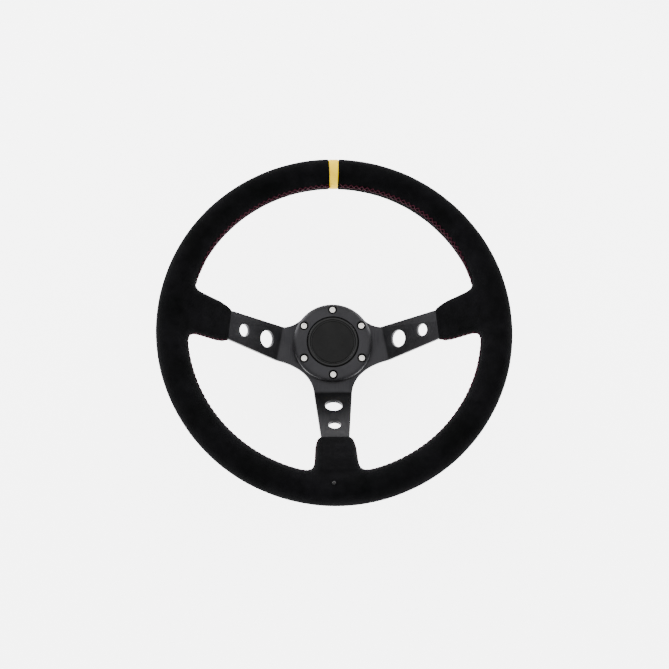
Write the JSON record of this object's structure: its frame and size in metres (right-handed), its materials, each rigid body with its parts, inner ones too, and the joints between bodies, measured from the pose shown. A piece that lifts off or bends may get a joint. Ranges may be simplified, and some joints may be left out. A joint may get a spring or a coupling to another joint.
{
  "type": "quick release steering wheel",
  "caption": "Dished three-spoke racing steering wheel with a suede rim and horn button, on a splined ball-lock coupling that lets it pull off the column.",
  "frame": {"origin": "on the steering axis, at the rear face of the column flange, which is the lowest face and the centre of the wheel's outline", "axes": "+Z along the steering axis towards the driver, +Y towards twelve o'clock, +X to the driver's right"},
  "size_m": [0.35, 0.3497, 0.1448],
  "materials": {
    "suede": "black suede with a short raised nap, crimson cross stitching",
    "band": "matt yellow leather",
    "foam": "matt moulded foam",
    "plate": "black anodised, fine brushed satin",
    "ring": "black anodised, turned satin",
    "screw": "bright zinc plate",
    "steel": "turned steel, lightly oiled",
    "bearing_steel": "polished steel balls",
    "coupler": "black anodised, satin",
    "sleeve": "red anodised, fluted grip",
    "button": "satin black moulding",
    "badge": "fine-grained black disc",
    "insulator": "dark phenolic moulding",
    "brass": "stamped brass"
  },
  "bodies": {
    "column_side": {"column_hub": "steel"},
    "wheel_side": {"coupler_body": "coupler", "sleeve_spring": "steel", "sleeve_circlip": "steel", "spoke_plate": "plate", "rim_core": "steel", "core_rivet_1": "screw", "core_rivet_2": "screw", "core_rivet_3": "screw", "core_rivet_4": "screw", "core_rivet_5": "screw", "core_rivet_6": "screw", "rim_foam": "foam", "rim_cover_upper_left": "suede", "rim_cover_upper_right": "suede", "rim_cover_lower_left": "suede", "rim_cover_lower_right": "suede", "spoke_cover_left": "suede", "spoke_cover_right": "suede", "spoke_cover_bottom": "suede", "centre_band": "band", "rim_stud": "steel", "horn_ring": "ring", "hub_bolt_1": "screw", "hub_bolt_2": "screw", "hub_bolt_3": "screw", "hub_bolt_4": "screw", "hub_bolt_5": "screw", "hub_bolt_6": "screw", "horn_spring": "steel", "horn_base": "insulator", "horn_live_contact": "brass", "horn_earth_contact": "brass"},
    "release_sleeve": {"release_sleeve": "sleeve"},
    "horn_button": {"horn_cap": "button", "horn_badge": "badge", "horn_moving_contact": "brass"},
    "ball_1": {"lock_ball_1": "bearing_steel"},
    "ball_2": {"lock_ball_2": "bearing_steel"},
    "ball_3": {"lock_ball_3": "bearing_steel"},
    "ball_4": {"lock_ball_4": "bearing_steel"},
    "ball_5": {"lock_ball_5": "bearing_steel"},
    "ball_6": {"lock_ball_6": "bearing_steel"}
  },
  "joints": [
    {"name": "wheel_pull_off", "type": "slide", "parent": "column_side", "child": "wheel_side", "axis": [0, 0, 1], "range_m": [0, 0.06]},
    {"name": "sleeve_slide", "type": "slide", "parent": "wheel_side", "child": "release_sleeve", "axis": [0, 0, 1], "range_m": [0, 0.005], "stiffness_N_per_m": 1200, "springref_m": -0.005, "deforming": ["sleeve_spring"]},
    {"name": "horn_press", "type": "slide", "parent": "wheel_side", "child": "horn_button", "axis": [0, 0, -1], "range_m": [0, 0.0025], "stiffness_N_per_m": 800, "springref_m": -0.004, "deforming": ["horn_spring"]},
    {"name": "ball_1_slide", "type": "slide", "parent": "wheel_side", "child": "ball_1", "axis": [1, 0, 0], "range_m": [0, 0.00145]},
    {"name": "ball_2_slide", "type": "slide", "parent": "wheel_side", "child": "ball_2", "axis": [0.5, 0.866, 0], "range_m": [0, 0.00145]},
    {"name": "ball_3_slide", "type": "slide", "parent": "wheel_side", "child": "ball_3", "axis": [-0.5, 0.866, 0], "range_m": [0, 0.00145]},
    {"name": "ball_4_slide", "type": "slide", "parent": "wheel_side", "child": "ball_4", "axis": [-1, 0, 0], "range_m": [0, 0.00145]},
    {"name": "ball_5_slide", "type": "slide", "parent": "wheel_side", "child": "ball_5", "axis": [-0.5, -0.866, 0], "range_m": [0, 0.00145]},
    {"name": "ball_6_slide", "type": "slide", "parent": "wheel_side", "child": "ball_6", "axis": [0.5, -0.866, 0], "range_m": [0, 0.00145]}
  ],
  "couplings": [
    {"joint": "ball_1_slide", "follows": "sleeve_slide", "ratio": 0.28},
    {"joint": "ball_2_slide", "follows": "sleeve_slide", "ratio": 0.28},
    {"joint": "ball_3_slide", "follows": "sleeve_slide", "ratio": 0.28},
    {"joint": "ball_4_slide", "follows": "sleeve_slide", "ratio": 0.28},
    {"joint": "ball_5_slide", "follows": "sleeve_slide", "ratio": 0.28},
    {"joint": "ball_6_slide", "follows": "sleeve_slide", "ratio": 0.28}
  ]
}
